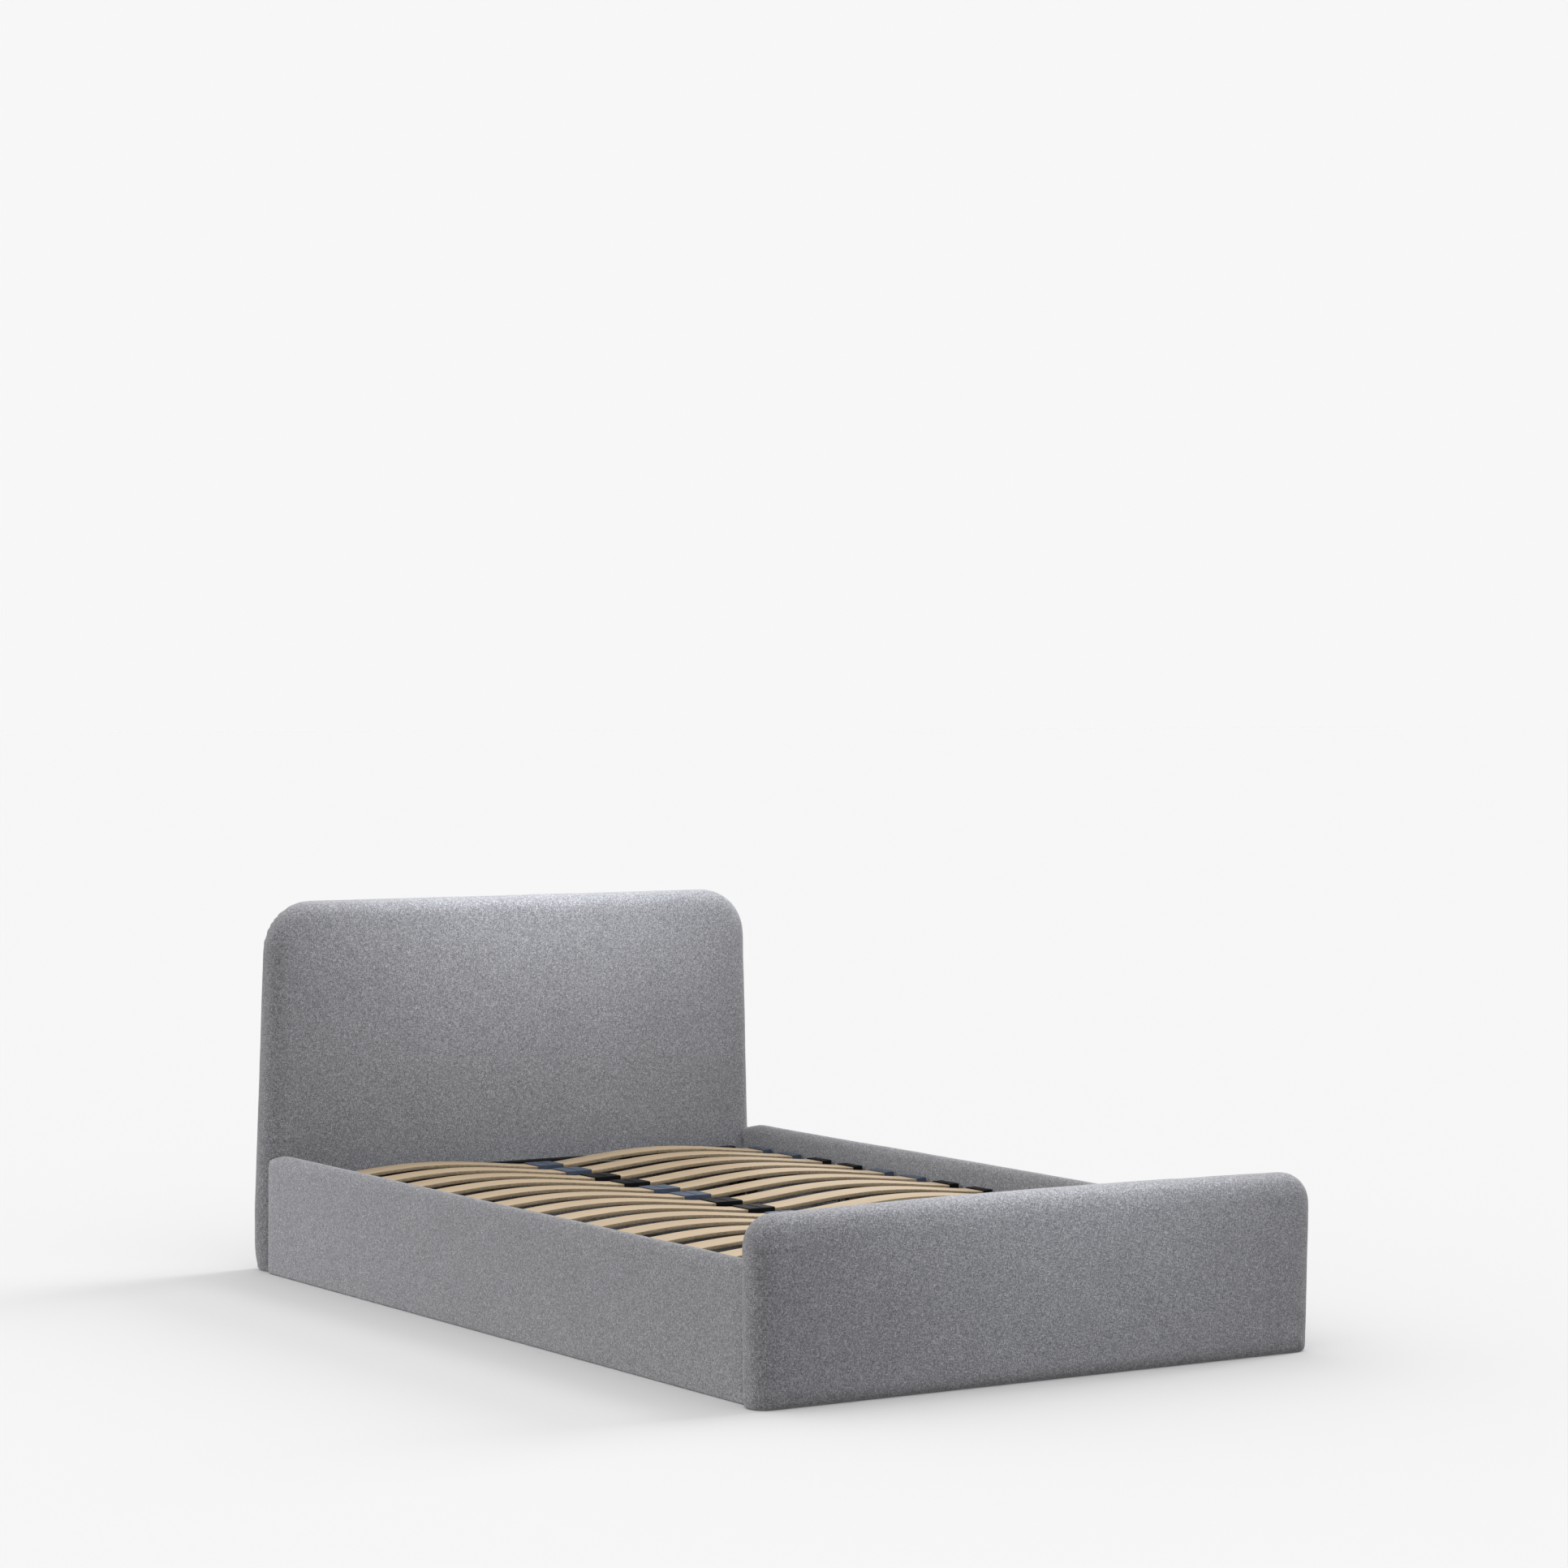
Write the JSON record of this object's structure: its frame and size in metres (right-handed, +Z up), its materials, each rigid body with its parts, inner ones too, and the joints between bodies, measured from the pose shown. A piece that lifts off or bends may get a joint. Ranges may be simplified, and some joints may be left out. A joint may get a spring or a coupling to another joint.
{
  "type": "sleigh bed",
  "caption": "Upholstered sleigh bed with padded headboard, footboard and side rails, and a sprung-slat steel frame that lifts up over a storage space.",
  "frame": {"origin": "on the floor under the middle of the bed's outer box", "axes": "+X to the right seen from the footboard, +Y along the bed from the footboard to the headboard, +Z up"},
  "size_m": [1.328, 2.105, 0.823],
  "materials": {
    "upholstery_fabric": "matte melange weave",
    "board_wood": "raw board",
    "floor_panel": "dark laminated hardboard",
    "back_cloth": "black spun-bonded cloth",
    "black_steel": "black powder coat",
    "beech": "satin laminated beech",
    "cap_plastic": "moulded plastic, black and slate blue",
    "strut_black": "satin black",
    "strut_chrome": "polished rod"
  },
  "bodies": {
    "base": {"headboard_pad": "upholstery_fabric", "headboard_board": "board_wood", "headboard_back_cloth": "back_cloth", "footboard_pad": "upholstery_fabric", "footboard_board": "board_wood", "left_rail_cover": "upholstery_fabric", "left_rail_board": "board_wood", "right_rail_cover": "upholstery_fabric", "right_rail_board": "board_wood", "left_floor_panel": "floor_panel", "right_floor_panel": "floor_panel", "floor_batten": "board_wood", "left_hinge_plate": "black_steel", "right_hinge_plate": "black_steel"},
    "lift_frame": {"left_frame_tube": "black_steel", "right_frame_tube": "black_steel", "centre_frame_tube": "black_steel", "head_frame_tube": "black_steel", "foot_frame_tube": "black_steel", "left_cap_strip": "cap_plastic", "centre_cap_strip": "cap_plastic", "right_cap_strip": "cap_plastic", "left_strut_bracket": "black_steel", "right_strut_bracket": "black_steel", "mattress_retainer": "black_steel", "left_slat_01": "beech", "left_slat_02": "beech", "left_slat_03": "beech", "left_slat_04": "beech", "left_slat_05": "beech", "left_slat_06": "beech", "left_slat_07": "beech", "left_slat_08": "beech", "left_slat_09": "beech", "left_slat_10": "beech", "left_slat_11": "beech", "left_slat_12": "beech", "left_slat_13": "beech", "left_slat_14": "beech", "left_slat_15": "beech", "right_slat_01": "beech", "right_slat_02": "beech", "right_slat_03": "beech", "right_slat_04": "beech", "right_slat_05": "beech", "right_slat_06": "beech", "right_slat_07": "beech", "right_slat_08": "beech", "right_slat_09": "beech", "right_slat_10": "beech", "right_slat_11": "beech", "right_slat_12": "beech", "right_slat_13": "beech", "right_slat_14": "beech", "right_slat_15": "beech"},
    "left_cylinder": {"left_strut_cylinder": "strut_black"},
    "left_rod": {"left_strut_rod": "strut_chrome"},
    "right_cylinder": {"right_strut_cylinder": "strut_black"},
    "right_rod": {"right_strut_rod": "strut_chrome"}
  },
  "joints": [
    {"name": "frame_lift", "type": "hinge", "parent": "base", "child": "lift_frame", "pos_m": [0, 0.9175, 0.1875], "axis": [-1, 0, 0], "range_deg": [0, 45]},
    {"name": "left_strut_swing", "type": "hinge", "parent": "base", "child": "left_cylinder", "pos_m": [-0.557, 0.9175, 0.0675], "axis": [-1, 0, 0], "range_deg": [0, 40]},
    {"name": "left_strut_slide", "type": "slide", "parent": "left_cylinder", "child": "left_rod", "axis": [0, -0.9864, 0.1644], "range_m": [0, 0.081]},
    {"name": "right_strut_swing", "type": "hinge", "parent": "base", "child": "right_cylinder", "pos_m": [0.557, 0.9175, 0.0675], "axis": [-1, 0, 0], "range_deg": [0, 40]},
    {"name": "right_strut_slide", "type": "slide", "parent": "right_cylinder", "child": "right_rod", "axis": [0, -0.9864, 0.1644], "range_m": [0, 0.081]}
  ],
  "couplings": [
    {"joint": "left_strut_swing", "follows": "frame_lift", "ratio": 0.88442},
    {"joint": "left_strut_slide", "follows": "frame_lift", "m_per_rad": 0.10202},
    {"joint": "right_strut_swing", "follows": "frame_lift", "ratio": 0.88442},
    {"joint": "right_strut_slide", "follows": "frame_lift", "m_per_rad": 0.10202}
  ]
}
